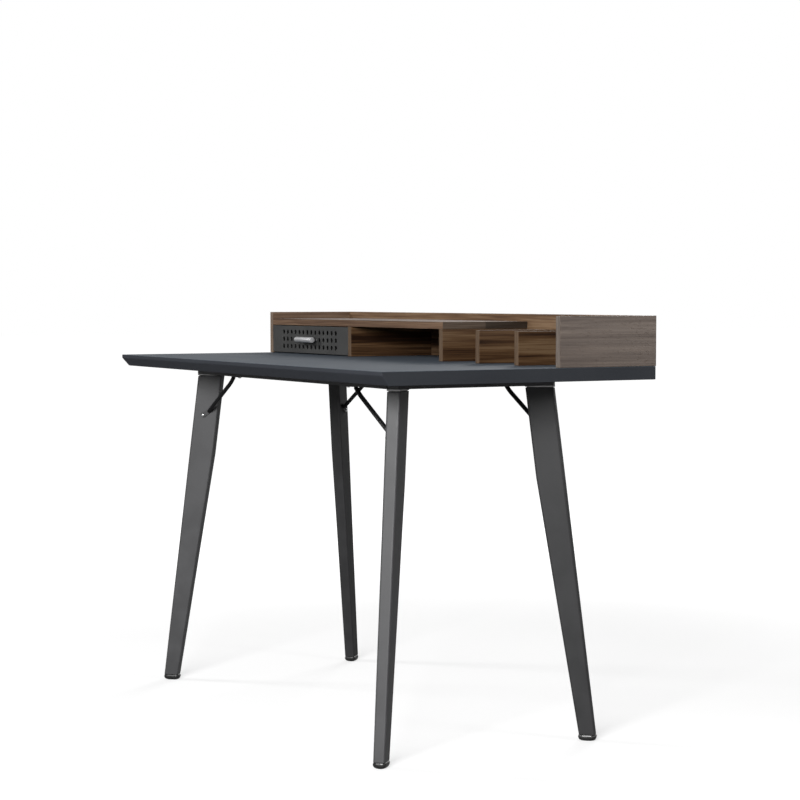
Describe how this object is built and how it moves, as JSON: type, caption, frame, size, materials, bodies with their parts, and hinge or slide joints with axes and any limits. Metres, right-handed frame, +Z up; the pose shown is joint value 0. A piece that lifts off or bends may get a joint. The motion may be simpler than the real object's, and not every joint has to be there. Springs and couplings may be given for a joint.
{
  "type": "drafting desk",
  "caption": "Drafting desk with a flat top on splayed tapered steel legs, rod braces, and a low walnut organiser with open bays, a shelf and a perforated steel drawer.",
  "frame": {"origin": "on the floor, under the middle of the desktop", "axes": "+X along the desk's length to the sitter's right, +Y from the sitter's side to the organiser's back, +Z up"},
  "size_m": [1.25, 0.61, 0.848],
  "materials": {
    "slate_laminate": "matte slate grey laminate",
    "charcoal_steel": "fine textured powder coat",
    "black_steel": "satin black",
    "black_plastic": "glossy moulded",
    "runner_plastic": "matt nylon",
    "walnut": "satin walnut with straight grain",
    "grey_steel": "satin dark grey",
    "zinc": "zinc plated",
    "aluminium": "satin anodised"
  },
  "bodies": {
    "desk": {"desktop": "slate_laminate", "frame_rail_front": "charcoal_steel", "frame_rail_back": "charcoal_steel", "frame_rail_left": "charcoal_steel", "frame_rail_right": "charcoal_steel", "leg_bracket_back_right": "charcoal_steel", "leg_back_right": "charcoal_steel", "foot_cap_back_right": "black_plastic", "brace_back_right": "black_steel", "brace_foot_screw_back_right": "zinc", "brace_head_screw_back_right": "zinc", "leg_bracket_back_left": "charcoal_steel", "leg_back_left": "charcoal_steel", "foot_cap_back_left": "black_plastic", "brace_back_left": "black_steel", "brace_foot_screw_back_left": "zinc", "brace_head_screw_back_left": "zinc", "leg_bracket_front_left": "charcoal_steel", "leg_front_left": "charcoal_steel", "foot_cap_front_left": "black_plastic", "brace_front_left": "black_steel", "brace_foot_screw_front_left": "zinc", "brace_head_screw_front_left": "zinc", "leg_bracket_front_right": "charcoal_steel", "leg_front_right": "charcoal_steel", "foot_cap_front_right": "black_plastic", "brace_front_right": "black_steel", "brace_foot_screw_front_right": "zinc", "brace_head_screw_front_right": "zinc", "desktop_screw_front_1": "zinc", "desktop_screw_front_2": "zinc", "desktop_screw_front_3": "zinc", "desktop_screw_front_4": "zinc", "desktop_screw_back_1": "zinc", "desktop_screw_back_2": "zinc", "desktop_screw_back_3": "zinc", "desktop_screw_back_4": "zinc", "organiser_side_left": "walnut", "organiser_side_right": "walnut", "organiser_back": "walnut", "organiser_shelf": "walnut", "organiser_divider_1": "walnut", "organiser_divider_2": "walnut", "organiser_divider_3": "walnut", "organiser_divider_4": "walnut", "organiser_screw_divider_1": "zinc", "organiser_screw_divider_2": "zinc", "organiser_screw_side_left": "zinc", "organiser_screw_side_right": "zinc", "runner_fixed_left": "zinc", "runner_fixed_right": "zinc"},
    "drawer": {"drawer_front": "grey_steel", "drawer_tray": "grey_steel", "drawer_handle_bar": "aluminium", "drawer_handle_post_left": "aluminium", "drawer_handle_post_right": "aluminium", "runner_slider_left": "runner_plastic", "runner_slider_right": "runner_plastic"}
  },
  "joints": [
    {"name": "drawer_slide", "type": "slide", "parent": "desk", "child": "drawer", "axis": [0, -1, 0], "range_m": [0, 0.15]}
  ]
}
